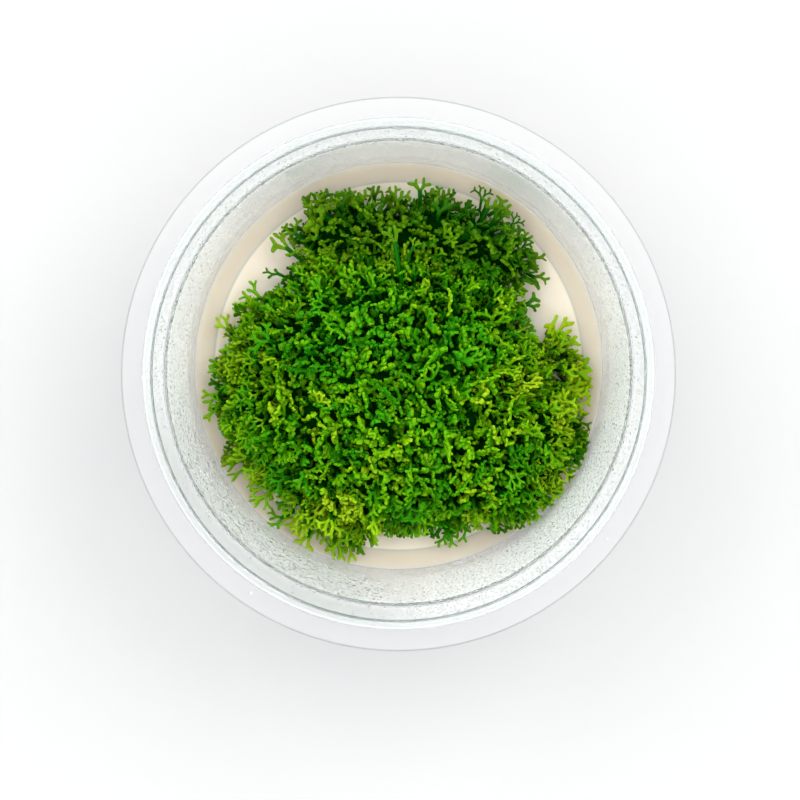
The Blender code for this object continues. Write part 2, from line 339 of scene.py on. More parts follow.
def plastic_material():
    # Clear PET sheet, drawn hot over a mould: hard gloss with faint drawing ripples, cool at its edges, and
    # its cut edge painted grey as shade. Fine mist scatters light white between droplets that stay clear and
    # darker, and hides more the more flatly it is looked through
    cup = chosen("cup")
    material, tree, shader, place = new_material("Thermoformed clear PET")
    ripple_size, droplet_size = 9 * MM, 0.5 * MM
    cut, mist = (add(tree, "ShaderNodeAttribute", {"attribute_name": mark}).outputs["Fac"]
                 for mark in ("cut", "mist"))
    # The cut mark paints the brim's edge grey, as shade
    colour = add(tree, "ShaderNodeMix", {"data_type": "RGBA"}, cut, cup.tint, cup.edge_shade)
    ripple = add(tree, "ShaderNodeTexNoise", Vector=place, Scale=1 / ripple_size, Detail=2.0)
    haze = add(tree, "ShaderNodeMapRange", Value=ripple, To_Min=0.015, To_Max=0.07)
    dull = add(tree, "ShaderNodeMath", {"operation": "MULTIPLY_ADD"}, mist, 0.12, haze)
    bump = add(tree, "ShaderNodeBump", Height=ripple, Strength=0.12, Distance=0.3 * MM)
    cells = add(tree, "ShaderNodeTexVoronoi", Vector=place, Scale=1 / droplet_size)
    droplets = add(tree, "ShaderNodeMapRange", {"interpolation_type": "SMOOTHSTEP"}, Value=cells,
                   From_Min=0.1, From_Max=0.5, To_Min=1.0, To_Max=0.0)
    beaded = add(tree, "ShaderNodeBump", Height=droplets, Strength=mist, Distance=0.12 * MM, Normal=bump)
    white = add(tree, "ShaderNodeMapRange", Value=droplets, To_Min=0.95, To_Max=0.36)
    flatness = add(tree, "ShaderNodeLayerWeight", Blend=0.5).outputs["Facing"]
    hiding = add(tree, "ShaderNodeMapRange", Value=flatness, From_Max=0.75, To_Min=0.3, To_Max=1.0)
    thick = add(tree, "ShaderNodeMath", {"operation": "MULTIPLY"}, mist, hiding)
    scatter = add(tree, "ShaderNodeMath", {"operation": "MULTIPLY"}, thick, white)
    clear = add(tree, "ShaderNodeMath", {"operation": "SUBTRACT"}, 1.0, scatter)
    fill(tree, shader, Base_Color=colour, IOR=1.5, Roughness=dull, Normal=beaded, Transmission_Weight=clear)
    depth = add(tree, "ShaderNodeVolumeAbsorption", Color=cup.depth_tint, Density=cup.absorption)
    fill(tree, tree.nodes["Material Output"], Volume=depth)
    return material


def gel_material():
    # Agar gel, poured warm and set: cloudy cream, wet on top, a darker beige band from the foot's corner out
    # to the wall
    gel = chosen("gel")
    material, tree, shader, place = new_material("Set agar gel")
    corner = (chosen("cup").wall_foot_radius - chosen("cup").corner_radius) / GEL_TOP.x
    cloud_size, dimple_size = 14 * MM, 2.5 * MM
    across = 1 / GEL_TOP.x
    flat = add(tree, "ShaderNodeVectorMath", {"operation": "MULTIPLY"}, place, (across, across, 0))
    radius = add(tree, "ShaderNodeVectorMath", {"operation": "LENGTH"}, flat)
    bands = add(tree, "ShaderNodeValToRGB", None, radius)
    stops = bands.color_ramp.elements
    stops[0].color = gel.cream
    stops[1].color = gel.beige
    for shift, colour in ((-0.012, gel.cream), (-0.004, gel.line), (0.004, gel.beige)):
        stops.new(corner + shift).color = colour
    cloud = add(tree, "ShaderNodeTexNoise", Vector=place, Scale=1 / cloud_size, Detail=3.0)
    strength = add(tree, "ShaderNodeMapRange", Value=cloud, To_Min=0.92, To_Max=1.04)
    colour = add(tree, "ShaderNodeVectorMath", {"operation": "SCALE"}, bands, strength)
    dimple = add(tree, "ShaderNodeTexNoise", Vector=place, Scale=1 / dimple_size, Detail=2.0)
    bump = add(tree, "ShaderNodeBump", Height=dimple, Strength=0.15, Distance=0.2 * MM)
    fill(tree, shader, Base_Color=colour, Subsurface_Weight=1.0, Subsurface_Radius=(1.0, 0.85, 0.6),
         Subsurface_Scale=gel.glow, IOR=1.335, Roughness=0.1, Normal=bump)
    return material


def water_material():
    # Condensed water: clear drops with a mirror skin, whose edges draw in the dark sides of the studio
    material, tree, shader, place = new_material("Condensed water")
    wobble_size = 0.5 * MM
    wobble = add(tree, "ShaderNodeTexNoise", Vector=place, Scale=1 / wobble_size)
    bump = add(tree, "ShaderNodeBump", Height=wobble, Strength=0.2, Distance=0.05 * MM)
    fill(tree, shader, Base_Color=linear("FFFFFF"), Transmission_Weight=1.0, IOR=1.333, Roughness=0.0,
         Normal=bump)
    return material


def thallus_material(name, pale, young, fresh, deep):
    # Living liverwort thallus: waxy and fleshy, lighter and yellower at its growing tips, dark at its stems,
    # with painted light and shade from its tint and depth marks
    material, tree, shader, place = new_material(name)
    mottle_size, skin_size = 0.8 * MM, 0.25 * MM
    tip, tint, depth = (add(tree, "ShaderNodeAttribute", {"attribute_name": mark}).outputs["Fac"]
                        for mark in ("tip", "tint", "depth"))
    cells = add(tree, "ShaderNodeTexNoise", Vector=place, Scale=1 / mottle_size, Detail=2.0)
    mottle = add(tree, "ShaderNodeMapRange", Value=cells, To_Min=-0.12, To_Max=0.12)
    shade = add(tree, "ShaderNodeMath", {"operation": "MULTIPLY_ADD"}, tint, 0.28, mottle)
    youth = add(tree, "ShaderNodeMath", {"operation": "MULTIPLY_ADD"}, tip, 0.46, shade)
    greens = add(tree, "ShaderNodeValToRGB", None, youth)
    stops = greens.color_ramp.elements
    stops[0].position, stops[0].color = 0.27, deep
    stops[1].position, stops[1].color = 1.0, pale
    stops.new(0.58).color = fresh
    stops.new(0.77).color = young
    # Painted shade: the depth mark mixes in the gap green, and takes the wax's gloss away there
    shaded = add(tree, "ShaderNodeMix", {"data_type": "RGBA"}, depth, greens, chosen("plant").gap)
    wax = add(tree, "ShaderNodeMapRange", Value=depth, To_Min=0.07, To_Max=0.0)
    skin = add(tree, "ShaderNodeTexNoise", Vector=place, Scale=1 / skin_size, Detail=1.0)
    bump = add(tree, "ShaderNodeBump", Height=skin, Strength=0.25, Distance=0.08 * MM)
    fill(tree, shader, Base_Color=shaded, Subsurface_Weight=0.6, Subsurface_Radius=(0.5, 1.0, 0.1),
         Subsurface_Scale=1.1 * MM, Roughness=0.55, Specular_IOR_Level=wax, Normal=bump)
    return material


def floor_material():
    # Matt white card: even, with the faint cloudiness of its fibres
    stage = chosen("stage")
    material, tree, shader, place = new_material("Matt white card")
    cloud_size = 40 * MM
    fibre = add(tree, "ShaderNodeTexNoise", Vector=place, Scale=1 / cloud_size, Detail=4.0)
    colour = add(tree, "ShaderNodeMix", {"data_type": "RGBA"}, fibre, stage.floor, stage.floor_cloud)
    fill(tree, shader, Base_Color=colour, Roughness=0.9)
    return material


# Forks of a frond: half the angle between two branches and between two end lobes, in degrees, the share of
# branches that end early, how each end lobe closes, and how its skin crinkles
FORK = (24, 40)
END_FORK = (36, 58)
EARLY_END = 0.2
LOBE_END = ((0.33, (0.85, 0.8, 0.85)), (0.12, (0.5, 0.45, 0.5)))
CRINKLE = 0.5 * MM
CRINKLE_DEPTH = 0.09 * MM


def draw_out(place, step, grow):
    """Extrudes the face at a place by a step, scales its ring, and returns the new middle."""
    pick("FACE", place)
    bpy.ops.mesh.extrude_region_move(TRANSFORM_OT_translate={"value": step})
    end = place + step
    bpy.ops.transform.resize(value=grow, center_override=end)
    return end


def split_end(end, lean, width, thickness, rise):
    """Splits an end face across its width, lifts the split to a ridge, and returns its slopes' middles."""
    along = Vector((math.sin(lean), 0, math.cos(lean)))
    across = Vector((math.cos(lean), 0, -math.sin(lean)))
    half = Vector((0, thickness / 2, 0))
    pick("EDGE", end - half, end + half)
    bpy.ops.mesh.subdivide(number_cuts=1)
    pick("EDGE", end)
    bpy.ops.transform.translate(value=along * rise)
    return [end + along * rise / 2 + across * side * width / 4 for side in (-1, 1)]


def crinkle(spot):
    """How far a frond's skin strays at a spot: three plain noises, as noise_vector changes at each run."""
    place = spot / CRINKLE
    return Vector([noise.noise(place + Vector((shift, 0, 0))) for shift in (0, 31, 67)]) * CRINKLE_DEPTH


def model_frond(draw, levels, stem_share=1.0, taper=1.0, sway=0.35, plump=1.07, slim=1.0):
    """Models one forked frond upright at the origin and returns its points, faces and length.

    It forks up to levels times, each branch taper times as wide as the one before. Its branches lean out of
    its plane by up to sway, and plump ones end in shorter, wider lobes.
    """
    plant = chosen("plant")
    width = plant.frond_width * slim
    thickness = plant.frond_thickness * (0.4 + 0.6 * slim)
    deselect()
    bpy.ops.mesh.primitive_plane_add(size=1.0, location=(0, 0, 0))
    frond = bpy.context.object
    bpy.ops.object.mode_set(mode="EDIT")
    bpy.ops.transform.resize(value=(0.6 * width, thickness, 1.0), center_override=(0, 0, 0))
    stem = plant.stem * stem_share * draw.uniform(0.9, 1.15)
    end = draw_out(Vector((0, 0, 0)), Vector((0, 0, stem)), (1.5, 1.0, 1.0))
    ends = [(end, 0.0, 0.9 * width, 1)]
    while ends:
        end, lean, wide, level = ends.pop(0)
        last = level >= levels
        spread = math.radians(draw.uniform(*(END_FORK if last else FORK)))
        slopes = split_end(end, lean, wide, thickness, wide / 2 * math.tan(spread))
        slope_width = wide / 2 / math.cos(spread)
        for side, slope in zip((-1, 1), slopes):
            heading = lean + side * spread * draw.uniform(0.8, 1.2)
            way = Vector((math.sin(heading), draw.uniform(-sway, sway), math.cos(heading)))
            if last or draw.random() < EARLY_END:
                lobe = plant.lobe * draw.uniform(0.7, 1.25) / plump
                grow = plump * draw.uniform(0.85, 1.15) * taper ** level * width / slope_width
                for share, swell in ((0.55, (grow, 1.3 * taper, grow)), *LOBE_END):
                    slope = draw_out(slope, way * lobe * share, swell)
            else:
                target = taper ** level * width * draw.uniform(0.8, 1.0)
                branch = plant.branch * draw.uniform(0.85, 1.2)
                fork = draw_out(slope, way * branch, (target / slope_width, 1.0, target / slope_width))
                ends.append((fork, lean + side * spread, target, level + 1))
    turn_outwards()
    points, faces = take_mesh(frond)
    points = np.array([spot + crinkle(spot) for spot in map(Vector, points)])
    return points, faces, points[:, 2].max()


def model_fronds(draw, kinds, **shape):
    """Models fronds of one shape, each given by how often it forks and its share of the stem's length."""
    return [model_frond(draw, levels, stem_share, **shape) for levels, stem_share in kinds]


class Copies:
    """Copies of one or more small meshes, joined in one mesh as they are placed."""

    def __init__(self, *marks):
        self.points, self.faces, self.count = [], [], 0
        self.marks = {mark: [] for mark in marks}

    def place(self, points, faces, **marks):
        """Adds one copy, with a value or an array of values for each mark."""
        self.points.append(points)
        self.faces += [[corner + self.count for corner in face] for face in faces]
        self.count += len(points)
        for mark, value in marks.items():
            self.marks[mark].append(np.broadcast_to(np.asarray(value, np.float32), len(points)))

    def build(self, name, material, points):
        """Makes the object from the points as they finally stand."""
        mesh = bpy.data.meshes.new(name)
        mesh.from_pydata(points.tolist(), [], self.faces)
        mark_points(mesh, **{mark: np.concatenate(values) for mark, values in self.marks.items()})
        piece = bpy.data.objects.new(name, mesh)
        bpy.context.scene.collection.objects.link(piece)
        mesh.materials.append(material)
        mesh.shade_smooth()
        return piece


class Planting(Copies):
    """Fronds that grow from a cushion, joined in one mesh."""

    def __init__(self):
        super().__init__("tip", "tint", "depth")

    def plant(self, frond, root, way, flat, size, twist, bend, tint, depth):
        """Adds one frond that grows from a root along a way, its broad side towards flat.

        The size is one number, or one each for the width, the thickness and the length.
        """
        points, faces, length = frond
        share = points[:, 2] / length
        turn = twist * share
        x = points[:, 0] * np.cos(turn) - points[:, 1] * np.sin(turn)
        y = points[:, 0] * np.sin(turn) + points[:, 1] * np.cos(turn) + bend * length * share ** 2
        side = way.cross(flat).normalized()
        top = side.cross(way).normalized()
        axes = np.array([side, top, way.normalized()])
        placed = np.stack([x, y, points[:, 2]], axis=1) * np.array(size) @ axes + np.array(root)
        self.place(placed, faces, tip=np.sqrt(share), tint=tint, depth=depth)

    def grow(self, name, material):
        """Makes the object, with every point kept inside the wall and above the gel."""
        points = np.concatenate(self.points)
        points[:, 2] = np.maximum(points[:, 2], GEL_TOP.z + 0.05 * MM)
        radius = np.hypot(points[:, 0], points[:, 1])
        room = wall_radius(points[:, 2]) - 0.3 * MM
        points[:, :2] *= np.minimum(1.0, room / np.maximum(radius, 1e-9))[:, None]
        return self.build(name, material, points)


# Main cushion: its middle, the height of its body, and how far its frond tips reach at each angle
MAIN_MIDDLE = (0.3 * MM, -7.0 * MM)
MAIN_HEIGHT = 12.5 * MM
MAIN_REACH = (
    (0, 32.4), (5, 31.0), (10, 29.2), (15, 28.4), (20, 28.2), (25, 27.9), (30, 27.6), (35, 29.8), (48, 32.0),
    (60, 31.0), (85, 30.4), (108, 31.8), (130, 33.2), (140, 32.6), (145, 33.8), (150, 36.0), (155, 35.8),
    (160, 34.8), (165, 35.2), (170, 35.0), (175, 35.6), (180, 36.3), (185, 34.6), (190, 34.1), (195, 34.4),
    (200, 33.0), (205, 29.4), (210, 29.6), (215, 31.0), (220, 26.6), (225, 30.0), (230, 28.4), (235, 29.6),
    (240, 27.8), (245, 25.8), (250, 29.4), (255, 27.0), (260, 24.8), (265, 24.6), (270, 23.9), (275, 24.1),
    (280, 24.4), (285, 23.0), (290, 26.2), (295, 24.9), (300, 27.0), (305, 28.3), (310, 30.2), (315, 31.3),
    (320, 33.2), (325, 34.2), (330, 34.1), (335, 34.3), (340, 35.8), (345, 36.0), (350, 36.4), (355, 34.4),
)

# Back cushion: an ellipse bent round the main one, tilted down to the right, short at the left and with a
# dent at the back, whose middle, width and depth are listed
BACK_MIDDLE = (1.5 * MM, 24.5 * MM)
BACK_HALF_WIDTH = 26.3 * MM
BACK_HALF_DEPTH = 8.0 * MM
BACK_BEND = 8.0
BACK_TILT = 0.09
BACK_LEFT_SHARE = 0.87
BACK_DENT = (-2.5 * MM, 5.0 * MM, 2.6 * MM)
BACK_HEIGHT = 6.8 * MM

# Right tuft: a plain ellipse, whose single fronds reach the edge of its solid
TUFT_MIDDLE = (29.2 * MM, -0.4 * MM)
TUFT_HALF_WIDTH = 5.0 * MM
TUFT_HALF_DEPTH = 7.6 * MM
TUFT_HEIGHT = 4.6 * MM


def reach_at(angle):
    """How far the main cushion's tips reach at an angle, smoothly between the listed ones."""
    degrees = math.degrees(angle) % 360
    last_angle, last_reach = MAIN_REACH[-1]
    first_angle, first_reach = MAIN_REACH[0]
    ring = [(last_angle - 360, last_reach), *MAIN_REACH, (first_angle + 360, first_reach)]
    for (a0, r0), (a1, r1) in zip(ring, ring[1:]):
        if a0 <= degrees <= a1:
            share = (degrees - a0) / (a1 - a0)
            eased = share * share * (3 - 2 * share)
            return (r0 + (r1 - r0) * eased) * MM
    raise ValueError("no reach at this angle")


def main_plan(a, b):
    """The place of a point of the unit disc on the main cushion's plan."""
    reach = reach_at(math.atan2(b, a)) - chosen("plant").fringe
    return MAIN_MIDDLE[0] + a * reach, MAIN_MIDDLE[1] + b * reach


def back_plan(a, b):
    """The place of a point of the unit disc on the back cushion's bent plan."""
    x = a * (BACK_HALF_WIDTH - chosen("plant").fringe) * (BACK_LEFT_SHARE if a < 0 else 1.0)
    y = b * (BACK_HALF_DEPTH - 0.5 * chosen("plant").fringe) - BACK_BEND * x * x - BACK_TILT * x
    middle, width, depth = BACK_DENT
    y -= depth * max(0.0, b) * math.exp(-((x - middle) / width) ** 2)
    return BACK_MIDDLE[0] + x, BACK_MIDDLE[1] + y


def tuft_plan(a, b):
    """The place of a point of the unit disc on the right tuft's plan."""
    x = a * (TUFT_HALF_WIDTH - 0.5 * chosen("plant").fringe)
    y = b * (TUFT_HALF_DEPTH - 0.5 * chosen("plant").fringe)
    return TUFT_MIDDLE[0] + x, TUFT_MIDDLE[1] + y


# Old growth under the fronds: how far it reaches of the body's plan, how deep it lies, its crumpled skin, and
# its darkness, painted shade that stands in for the shade under the fronds
CORE_REACH = 0.97
CORE_SINK = 0.8 * MM
CORE_CRUMPLE = 1.3 * MM
CORE_CRUMPLE_DEPTH = 0.5 * MM
CORE_PAINTED_SHADE = 0.9

# Growth on a cushion: how many spots are tried, how far out they lie and how much they favour the rim, the
# share of a rosette that its creases take, the clumps that stand up, the patches of lighter growth, where the
# fronds begin to lie down outwards, how far out they lean more, and where those at its foot have their roots
CROWN_TRIES = 26000
SPOT_REACH = 0.985
SPOT_BIAS = 0.42
ROSETTE_CREASE = 0.45
CLUMP = 3.2 * MM
PATCH = 10.0 * MM
LAID_FROM = 0.6
LAID_OVER = 0.3
LEAN_REACH = 20.0 * MM
FRINGE_ROOT = 0.96

# Mist on the wall: where it is wiped thin, in degrees and down from the ledge, and where it begins
WIPED = ((28, 137), (262, 279))
WIPED_EDGE = 12
WIPED_DROP = 3.0 * MM
THIN_MIST = 0.4
MIST_FOOT = 19.0 * MM
MIST_WAVE = 6.0 * MM
BEAD_MIST = 0.55

# Drops: how many are tried on the wall and from what height, how many are set in the bead, how the ledge's
# corners lean under them, and how far they stand off the plastic
WALL_TRIES = 26000
LOWEST_DROP = 16 * MM
BEAD_DROPS = 520
LEDGE_SLOPE = 0.5
DROP_LIFT = 0.02 * MM
# Single drops under the flange, by angle and radius in millimetres
FLANGE_DROPS = ((180.4, 43.7), (236.0, 45.2), (322.0, 45.6), (41.0, 45.9))

# Fronds that stand out singly, from root to tip: x, y and height of each end, in millimetres
MAIN_SINGLES = (
    (-24.0, -14.5, 17.5, -32.2, -20.4, 15.5),
    (-19.5, -20.0, 18.0, -28.0, -25.2, 15.5),
    (-19.6, -27.0, 17.0, -24.6, -29.4, 15.5),
    (-15.6, -28.6, 17.5, -18.0, -34.0, 15.3),
    (-11.4, -27.5, 18.0, -9.2, -36.8, 15.2),
    (-12.8, -27.5, 16.5, -11.4, -35.6, 15.0),
    (-14.0, -26.5, 17.5, -14.4, -33.2, 15.4),
    (-17.0, -25.5, 17.0, -20.0, -31.4, 15.4),
    (8.4, -28.5, 16.5, 9.7, -33.8, 15.5),
    (-29.5, -4.0, 17.5, -36.6, -6.2, 16.5),
    (-28.5, 3.0, 17.0, -33.6, 9.6, 16.0),
    (-23.0, 12.0, 17.5, -29.2, 14.0, 16.5),
)
BACK_SINGLES = (
    (-17.6, 19.6, 18.5, -23.5, 24.4, 17.0),
    (-17.0, 22.5, 18.0, -20.9, 26.8, 16.5),
    (-20.6, 16.6, 17.5, -24.7, 18.4, 16.5),
    (4.0, 29.0, 18.0, 3.9, 35.0, 20.0),
    (15.0, 29.0, 16.5, 15.8, 33.6, 16.5),
    (14.8, 26.0, 16.8, 17.6, 31.4, 17.0),
    (16.5, 28.0, 16.0, 20.6, 30.6, 16.5),
    (20.0, 25.0, 16.0, 22.6, 28.2, 16.5),
    (22.5, 17.5, 16.5, 25.6, 20.0, 16.0),
    (20.5, 14.0, 18.0, 23.6, 14.2, 17.0),
    (21.6, 11.4, 17.5, 26.4, 12.0, 16.5),
    (-13.0, 27.0, 16.5, -15.2, 32.8, 17.0),
    (-14.2, 26.5, 17.0, -16.6, 32.2, 17.0),
    (-12.6, 28.0, 17.0, -13.4, 33.0, 17.0),
    (-7.0, 27.0, 17.0, -8.0, 33.0, 17.0),
    (8.0, 28.0, 17.0, 8.0, 33.6, 16.5),
    (21.0, 22.0, 16.5, 24.6, 24.8, 16.5),
)
BACK_STALKS = (
    (0.8, 14.4, 23.5, -1.2, 26.2, 25.0),
    (0.9, 18.4, 24.0, 3.4, 23.9, 25.0),
    (10.0, 20.0, 20.5, 14.5, 25.0, 21.5),
)
TUFT_SINGLES = (
    (26.6, 1.6, 16.5, 31.9, 9.0, 16.5),
    (26.2, 2.9, 16.5, 29.0, 7.8, 17.0),
    (27.2, 2.3, 17.5, 33.6, 5.0, 17.0),
    (27.7, 1.6, 16.2, 33.6, 2.9, 16.0),
    (27.6, 0.4, 17.5, 36.0, -0.8, 16.5),
    (27.8, -3.6, 16.5, 36.2, -2.9, 16.2),
    (29.4, -2.9, 17.2, 34.6, -4.0, 16.5),
    (29.6, -3.8, 17.0, 34.6, -5.4, 16.5),
    (29.6, -6.4, 17.5, 35.6, -8.9, 16.5),
)

# Body of a cushion: how high and wide its lumps are, how its side falls to the rim, and its least height
LUMP_HEIGHT = 2.0 * MM
LUMP = 8.0 * MM
DOME_POWER = 8 / 3
LEAST_HEIGHT = 0.3 * MM

CUSHIONS = {
    "main_cushion": (main_plan, MAIN_HEIGHT),
    "back_cushion": (back_plan, BACK_HEIGHT),
    "right_tuft": (tuft_plan, TUFT_HEIGHT),
}


def dome(name, a, b, sink=0.0):
    """A point on a cushion's lumpy body above a point of the unit disc, sunk by a distance."""
    plan, height = CUSHIONS[name]
    x, y = plan(a, b)
    lump = LUMP_HEIGHT * noise.noise(Vector((x, y, height)) / LUMP)
    rim = math.hypot(a, b)
    z = (height + lump) * math.sqrt(max(0.0, 1.0 - rim ** DOME_POWER))
    return Vector((x, y, GEL_TOP.z + max(LEAST_HEIGHT, z - sink)))


def dome_normal(name, a, b):
    """The outward normal of a cushion's body above a point of the unit disc."""
    step = 0.01
    run = dome(name, a + step, b) - dome(name, a - step, b)
    rise = dome(name, a, b + step) - dome(name, a, b - step)
    return run.cross(rise).normalized()


def scatter(name, spacing, tries, draw):
    """Points of the unit disc whose places on a cushion lie at least a spacing apart."""
    cells, found = {}, []
    for _ in range(tries):
        turn = draw.uniform(0, math.tau)
        rim = SPOT_REACH * draw.random() ** SPOT_BIAS
        a, b = rim * math.cos(turn), rim * math.sin(turn)
        spot = dome(name, a, b)
        cell = tuple(int(c // spacing) for c in spot)
        near = [(cell[0] + i, cell[1] + j, cell[2] + k)
                for i in (-1, 0, 1) for j in (-1, 0, 1) for k in (-1, 0, 1)]
        if any((spot - other).length < spacing for c in near for other in cells.get(c, ())):
            continue
        cells.setdefault(cell, []).append(spot)
        found.append((a, b))
    return found


def core(name, material):
    """The lumpy body of old growth under the fronds, painted dark as shade: a cube rounded over the cushion's
    plan.
    """
    deselect()
    bpy.ops.mesh.primitive_cube_add(size=2.0, location=(0, 0, 0))
    piece = bpy.context.object
    piece.name = name + "_core"
    bpy.ops.object.mode_set(mode="EDIT")
    bpy.ops.mesh.subdivide(number_cuts=31)
    bpy.ops.object.mode_set(mode="OBJECT")
    foot = GEL_TOP.z + 0.1 * MM
    for vertex in piece.data.vertices:
        way = vertex.co.normalized()
        spread = math.hypot(way.x, way.y)
        fuller = CORE_REACH * spread ** -0.25 if spread > 0.0 else 0.0
        spot = dome(name, way.x * fuller, way.y * fuller, sink=CORE_SINK)
        if way.z < 0.0:
            spot.z = foot
        crumple = noise.noise(spot / CORE_CRUMPLE) * CORE_CRUMPLE_DEPTH
        vertex.co = (spot.x, spot.y, max(foot, spot.z + crumple))
    count = len(piece.data.vertices)
    # Painted shade: the whole core is mixed towards the gap green
    mark_points(piece.data, tip=[0.0] * count, tint=[0.0] * count, depth=[CORE_PAINTED_SHADE] * count)
    finish_mesh(piece, material)
    return piece


def rosette(spot):
    """How far a spot lies from the creases between rosettes, up to 1, and its way out from the middle."""
    place = spot / chosen("plant").rosette
    distances, middles = noise.voronoi(place)
    return clamp((distances[1] - distances[0]) / ROSETTE_CREASE), place - middles[0]


def stray(draw, wide, low, high):
    """A random direction, up to wide to each side and from low to high upwards."""
    return Vector((draw.uniform(-wide, wide), draw.uniform(-wide, wide), draw.uniform(low, high)))


def crown(planting, name, fronds, ribbons, draw, spacing, size, sink, depth, outward, loose):
    """Plants fronds all over a cushion's body, leaning out from its middle, with ribbons on its outer part.

    They are sunk by a distance, painted darker by depth as shade, and lean outward and loose by those shares.
    """
    middle = dome(name, 0.0, 0.0)
    for a, b in scatter(name, spacing, CROWN_TRIES, draw):
        spot = dome(name, a, b)
        clump = noise.noise(Vector((spot.x, spot.y, 3.0 * MM)) / CLUMP)
        patch = noise.noise(Vector((spot.x, spot.y, 613.0 * MM)) / PATCH)
        normal = dome_normal(name, a, b)
        away = (spot - middle) * Vector((1, 1, 0))
        fullness, spread = rosette(spot)
        laid = clamp((math.hypot(a, b) - LAID_FROM) / LAID_OVER)
        swing = stray(draw, 1, -0.3, 0.6)
        lean = (outward + 0.4 * laid) * away / LEAN_REACH
        way = (normal + lean + 0.35 * spread + loose * swing).normalized()
        way.z = max(way.z, -0.05)
        root = spot - normal * (sink + (0.6 - 1.2 * clump - 1.0 * fullness + draw.uniform(-0.5, 0.5)) * MM)
        flat = stray(draw, 1, -1, 1)
        flat.z += 1.2 * laid
        # Painted light and shade: lighter on raised clumps, rosette middles and laid outer fronds, darker
        # where fronds sink and in creases; lighter in random patches, and darker towards the back
        tint = 0.62 + 0.8 * clump + 0.8 * patch + 0.35 * fullness + 0.4 * laid - 0.5 * max(0.0, b)
        tint += draw.uniform(-0.35, 0.35)
        frond = draw.choice(ribbons if draw.random() < 0.15 + 0.65 * laid else fronds)
        scale, twist, bend = size * draw.uniform(0.68, 1.2), draw.uniform(-1.3, 1.3), draw.uniform(-0.3, 0.3)
        # Painted shade: darker for lower fronds, in rosette creases and where clumps sink
        dark = clamp(depth * draw.uniform(0.8, 1.0) + 0.5 * (0.6 - fullness) - 0.5 * clump)
        planting.plant(frond, root, way, flat, scale, twist, bend, tint, dark)


def fringe(planting, name, fronds, draw, start, end, spacing, size):
    """Lays fronds on the gel round part of a cushion's foot, their broad sides up and their tips outwards."""
    middle = dome(name, 0.0, 0.0)
    degrees = start
    while degrees < end:
        turn = math.radians(degrees)
        root = dome(name, FRINGE_ROOT * math.cos(turn), FRINGE_ROOT * math.sin(turn))
        root.z = GEL_TOP.z + draw.uniform(0.7, 3.4) * MM
        away = ((root - middle) * Vector((1, 1, 0))).normalized()
        heading = Matrix.Rotation(draw.uniform(-0.6, 0.6), 3, "Z") @ away
        way = (heading + Vector((0, 0, draw.uniform(-0.05, 0.4)))).normalized()
        flat = Vector((draw.uniform(-0.5, 0.5), draw.uniform(-0.5, 0.5), 1.0))
        # Their pale tints are painted light on fronds that lie low in the cushion's shade
        planting.plant(draw.choice(fronds), root - away * 1.0 * MM, way, flat,
                       size=size * draw.uniform(0.75, 1.15), twist=draw.uniform(-0.5, 0.5),
                       bend=draw.uniform(-0.15, 0.2), tint=draw.uniform(0.8, 1.9), depth=0.0)
        step = 0.02
        here, there = (dome(name, math.cos(angle), math.sin(angle)) for angle in (turn, turn + step))
        degrees += math.degrees(step * spacing / (there - here).length) * draw.uniform(0.7, 1.3)


def single_fronds(planting, fronds, rows, draw, darkest=1.0, palest=2.2):
    """Lays the fronds that stand out singly, each from its root to its tip, in millimetres."""
    for x0, y0, z0, x1, y1, z1 in rows:
        root, tip = Vector((x0, y0, z0)) * MM, Vector((x1, y1, z1)) * MM
        way = tip - root
        frond = draw.choice(fronds)
        flat = Vector((draw.uniform(-0.25, 0.25), draw.uniform(-0.25, 0.25), 1.0))
        stretch = way.length / frond[2]
        slim = min(stretch, 1.0)
        # Their pale tints are painted light on fronds that lie low in shade
        planting.plant(frond, root, way, flat, size=(slim, slim, stretch), twist=draw.uniform(-0.3, 0.3),
                       bend=draw.uniform(-0.08, 0.08), tint=draw.uniform(darkest, palest), depth=0.0)


def model_drop():
    """Models one drop, a ball cut off flat where it sits on the wall, and returns its points and faces."""
    cut = 0.2
    deselect()
    bpy.ops.mesh.primitive_uv_sphere_add(segments=6, ring_count=5, radius=1.0, location=(0, 0, 0))
    drop = bpy.context.object
    bpy.ops.object.mode_set(mode="EDIT")
    bpy.ops.mesh.select_all(action="SELECT")
    bpy.ops.mesh.bisect(plane_co=(0, 0, -cut), plane_no=(0, 0, 1), clear_inner=True, use_fill=True)
    bpy.ops.mesh.select_all(action="SELECT")
    bpy.ops.transform.translate(value=(0, 0, cut))
    turn_outwards()
    return take_mesh(drop)


def place_drop(copies, drop, degrees, radius, height, slope, size, draw):
    """Adds a drop at an angle, radius and height of the wall, whose surface leans by a slope."""
    turn = math.radians(degrees)
    inward = Vector((-math.cos(turn) * math.cos(slope), -math.sin(turn) * math.cos(slope), math.sin(slope)))
    side = Vector((-math.sin(turn), math.cos(turn), 0))
    axes = np.array([side, inward.cross(side), inward])
    stretch = np.array([draw.uniform(0.85, 1.15), draw.uniform(0.85, 1.3), draw.uniform(0.75, 1.0)])
    root = Vector((radius * math.cos(turn), radius * math.sin(turn), height)) + inward * DROP_LIFT
    points, faces = drop
    copies.place(points * stretch * size @ axes + np.array(root), faces)


def wetness(degrees):
    """How wet the wall is at an angle, up to 1 on its wettest side."""
    return clamp(4.0 * math.cos(math.radians(degrees) - chosen("water").wet_side) - 2.6)


